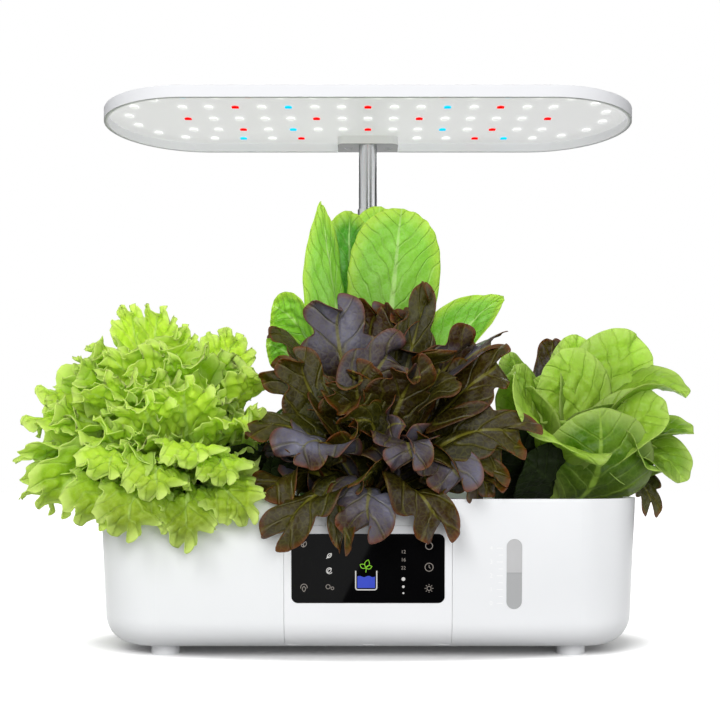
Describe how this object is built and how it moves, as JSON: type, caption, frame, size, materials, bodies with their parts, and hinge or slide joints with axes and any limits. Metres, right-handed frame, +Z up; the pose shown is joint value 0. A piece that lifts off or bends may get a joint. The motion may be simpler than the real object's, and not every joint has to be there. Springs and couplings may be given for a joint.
{
  "type": "countertop hydroponic garden",
  "caption": "Rounded white water tub with planting deck, lettuces in pods, touch display, water window, inner pump, and a long round-ended grow lamp on a telescopic pole.",
  "frame": {"origin": "middle of the four feet, on the surface that they stand on, under the middle of the tub", "axes": "+Z up; -Y towards the user, out of the display; +X to the user's right, along the tub"},
  "size_m": [0.519, 0.236, 0.4242],
  "materials": {
    "tub_white": "gloss",
    "deck_white": "satin",
    "cover_white": "gloss",
    "display_black": "gloss",
    "dark_plastic": "satin",
    "circuit_board": "satin",
    "screw_steel": "satin",
    "window_clear": "gloss",
    "seal_rubber": "matte",
    "inlet_brass": "polished",
    "lead_black": "matte",
    "foot_white": "satin",
    "hose_clear": "satin",
    "impeller_white": "satin",
    "socket_grey": "satin",
    "pole_steel": "polished",
    "lamp_white": "satin",
    "bracket_grey": "satin",
    "led_board": "matte",
    "led_white": "gloss",
    "led_red": "gloss",
    "led_blue": "gloss",
    "basket_white": "satin",
    "sponge_brown": "matte",
    "leaf_curly": "satin",
    "leaf_oakleaf": "satin",
    "leaf_romaine": "satin",
    "leaf_butterhead": "satin"
  },
  "bodies": {
    "base": {"reservoir_tub": "tub_white", "control_cover": "cover_white", "display_glass": "display_black", "display_module": "dark_plastic", "control_board": "circuit_board", "board_screws": "screw_steel", "water_window": "window_clear", "window_gasket": "seal_rubber", "underside_cover": "deck_white", "underside_screws": "screw_steel", "dc_inlet": "dark_plastic", "inlet_pin": "inlet_brass", "wiring_loom": "lead_black", "foot_front_left": "foot_white", "foot_front_right": "foot_white", "foot_rear_left": "foot_white", "foot_rear_right": "foot_white", "pump_body": "dark_plastic", "pump_strainer": "dark_plastic", "pump_shaft": "screw_steel", "pump_suckers": "seal_rubber", "pump_hose": "hose_clear", "pump_lead": "lead_black", "lead_grommet": "seal_rubber", "pole_socket": "socket_grey", "pole_lower": "pole_steel", "lamp_lead": "lead_black"},
    "deck": {"grow_deck": "deck_white", "flap_pin": "screw_steel"},
    "flap": {"fill_flap": "deck_white"},
    "lamp": {"pole_upper": "pole_steel", "pole_plug": "dark_plastic", "lamp_bracket": "bracket_grey", "bracket_screws": "screw_steel", "lamp_housing": "lamp_white", "led_board": "led_board", "leds_white": "led_white", "leds_red": "led_red", "leds_blue": "led_blue"},
    "impeller": {"pump_impeller": "impeller_white"},
    "pod_left": {"basket_left": "basket_white", "sponge_left": "sponge_brown", "lettuce_curly": "leaf_curly"},
    "pod_front": {"basket_front": "basket_white", "sponge_front": "sponge_brown", "lettuce_oakleaf": "leaf_oakleaf"},
    "pod_rear": {"basket_rear": "basket_white", "sponge_rear": "sponge_brown", "lettuce_romaine": "leaf_romaine"},
    "pod_right": {"basket_right": "basket_white", "sponge_right": "sponge_brown", "lettuce_butterhead": "leaf_butterhead"},
    "cover_front_left": {"hole_cover_front_left": "deck_white"},
    "cover_front_right": {"hole_cover_front_right": "deck_white"},
    "cover_rear_left": {"hole_cover_rear_left": "deck_white"},
    "cover_rear_right": {"hole_cover_rear_right": "deck_white"}
  },
  "joints": [
    {"name": "pole_slide", "type": "slide", "parent": "base", "child": "lamp", "axis": [0, 0, 1], "range_m": [-0.04, 0.12], "deforming": ["lamp_lead"]},
    {"name": "deck_lift", "type": "slide", "parent": "base", "child": "deck", "axis": [0, 0, 1], "range_m": [0, 0.055]},
    {"name": "flap_hinge", "type": "hinge", "parent": "deck", "child": "flap", "pos_m": [-0.095, 0.0815, 0.1097], "axis": [-1, 0, 0], "range_deg": [0, 100]},
    {"name": "impeller_spin", "type": "hinge", "parent": "base", "child": "impeller", "pos_m": [0.096, 0.036, 0.0269], "axis": [0, 1, 0], "continuous": true},
    {"name": "left_pod_lift", "type": "slide", "parent": "deck", "child": "pod_left", "axis": [0, 0, 1], "range_m": [0, 0.055]},
    {"name": "front_pod_lift", "type": "slide", "parent": "deck", "child": "pod_front", "axis": [0, 0, 1], "range_m": [0, 0.055]},
    {"name": "rear_pod_lift", "type": "slide", "parent": "deck", "child": "pod_rear", "axis": [0, 0, 1], "range_m": [0, 0.055]},
    {"name": "right_pod_lift", "type": "slide", "parent": "deck", "child": "pod_right", "axis": [0, 0, 1], "range_m": [0, 0.055]},
    {"name": "front_left_cover_lift", "type": "slide", "parent": "deck", "child": "cover_front_left", "axis": [0, 0, 1], "range_m": [0, 0.01]},
    {"name": "front_right_cover_lift", "type": "slide", "parent": "deck", "child": "cover_front_right", "axis": [0, 0, 1], "range_m": [0, 0.01]},
    {"name": "rear_left_cover_lift", "type": "slide", "parent": "deck", "child": "cover_rear_left", "axis": [0, 0, 1], "range_m": [0, 0.01]},
    {"name": "rear_right_cover_lift", "type": "slide", "parent": "deck", "child": "cover_rear_right", "axis": [0, 0, 1], "range_m": [0, 0.01]}
  ]
}
